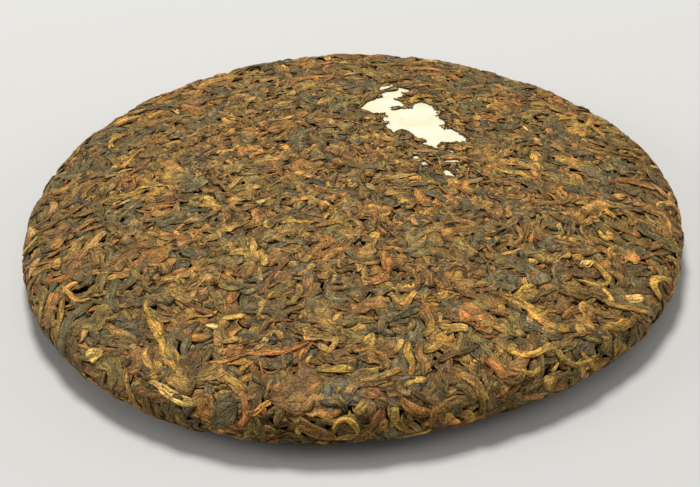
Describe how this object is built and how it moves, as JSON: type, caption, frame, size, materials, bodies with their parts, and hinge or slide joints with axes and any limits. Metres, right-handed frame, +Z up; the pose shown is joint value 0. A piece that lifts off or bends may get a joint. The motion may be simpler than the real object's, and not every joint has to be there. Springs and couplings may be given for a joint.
{
  "type": "pressed tea cake",
  "caption": "Round pressed cake of dark whole tea leaves with a low dome, a rounded rim and a knot hollow underneath, and a paper ticket pressed under the top leaves.",
  "frame": {"origin": "on the table, under the middle of the cake", "axes": "+Z up through the domed face; -Y towards the viewer of the picture; +X to the viewer's right"},
  "size_m": [0.2004, 0.2018, 0.0249],
  "materials": {
    "tea_leaves": "dry rolled leaves pressed flat, dark brown with golden tips, faint sheen",
    "ticket_paper": "thin matt cream paper, blank"
  },
  "bodies": {
    "root": {"tea_cake": "tea_leaves", "paper_ticket": "ticket_paper"}
  },
  "joints": []
}
